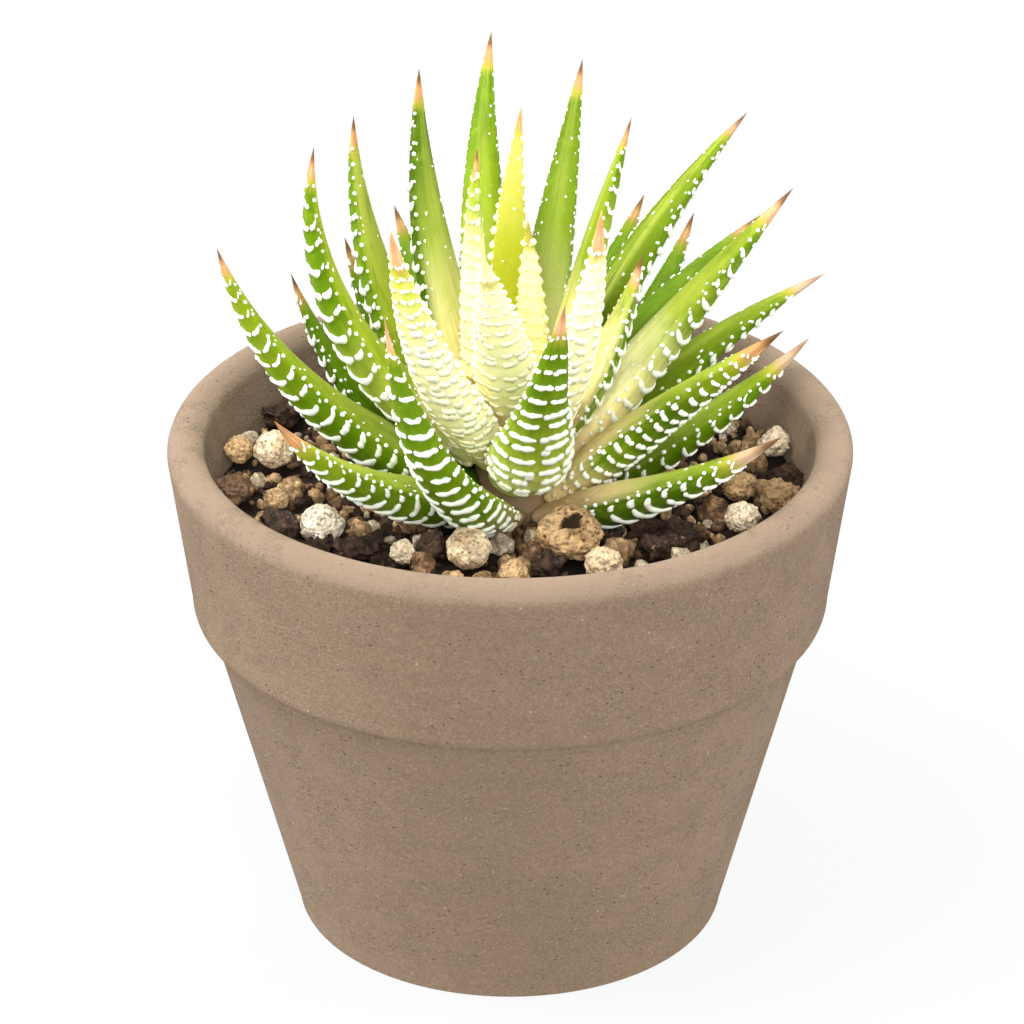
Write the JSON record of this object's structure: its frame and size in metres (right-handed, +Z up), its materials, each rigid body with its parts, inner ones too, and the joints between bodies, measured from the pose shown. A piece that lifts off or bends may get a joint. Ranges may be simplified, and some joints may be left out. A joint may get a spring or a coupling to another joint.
{
  "type": "potted haworthia",
  "caption": "Small striped rosette succulent with pointed leaves, growing in gritty mix in a plain tapered stoneware pot with a wide rim band.",
  "frame": {"origin": "centre of the pot's foot, on the surface it stands on", "axes": "+Z up along the pot's axis, +Y towards the back of the pot as seen in the picture"},
  "size_m": [0.1, 0.1, 0.13],
  "materials": {
    "stoneware": "unglazed matte grey-brown stoneware with fine dark and light specks",
    "gritty_mix": "loose dark potting grit with small tan grains and bark crumbs",
    "pumice": "rough porous cream and tan stone",
    "bark": "rough dark brown composted bark",
    "stem_skin": "pale beige plant stem, slightly waxy",
    "leaf_green": "satin green succulent leaf skin with paler bases and orange-brown tips",
    "leaf_variegated": "satin cream and yellow-green succulent leaf skin, slightly translucent",
    "leaf_pearls": "matte white raised leaf tubercles and margin teeth"
  },
  "bodies": {
    "root": {"bark_chip_01": "bark", "bark_chip_02": "bark", "bark_chip_03": "bark", "bark_chip_04": "bark", "bark_chip_05": "bark", "bark_chip_06": "bark", "bark_chip_07": "bark", "bark_chip_08": "bark", "inner_leaf_01": "leaf_variegated", "inner_leaf_02": "leaf_variegated", "inner_leaf_03": "leaf_variegated", "inner_leaf_04": "leaf_variegated", "inner_leaf_05": "leaf_variegated", "inner_leaf_06": "leaf_variegated", "inner_leaf_07": "leaf_variegated", "inner_leaf_08": "leaf_variegated", "middle_leaf_01": "leaf_green", "middle_leaf_02": "leaf_green", "middle_leaf_03": "leaf_green", "middle_leaf_04": "leaf_green", "middle_leaf_05": "leaf_green", "middle_leaf_06": "leaf_green", "middle_leaf_07": "leaf_green", "middle_leaf_08": "leaf_green", "middle_leaf_09": "leaf_green", "middle_leaf_10": "leaf_green", "outer_leaf_01": "leaf_green", "outer_leaf_02": "leaf_green", "outer_leaf_03": "leaf_green", "outer_leaf_04": "leaf_green", "outer_leaf_05": "leaf_green", "outer_leaf_06": "leaf_green", "outer_leaf_07": "leaf_green", "outer_leaf_08": "leaf_green", "outer_leaf_09": "leaf_green", "outer_leaf_10": "leaf_green", "outer_leaf_11": "leaf_green", "outer_leaf_12": "leaf_green", "outer_leaf_13": "leaf_green", "pot": "stoneware", "potting_mix": "gritty_mix", "pumice_stone_01": "pumice", "pumice_stone_02": "pumice", "pumice_stone_03": "pumice", "pumice_stone_04": "pumice", "pumice_stone_05": "pumice", "pumice_stone_06": "pumice", "pumice_stone_07": "pumice", "pumice_stone_08": "pumice", "pumice_stone_09": "pumice", "pumice_stone_10": "pumice", "pumice_stone_11": "pumice", "pumice_stone_12": "pumice", "pumice_stone_13": "pumice", "pumice_stone_14": "pumice", "pumice_stone_15": "pumice", "pumice_stone_16": "pumice", "pumice_stone_17": "pumice", "pumice_stone_18": "pumice", "stem": "stem_skin"}
  },
  "joints": []
}
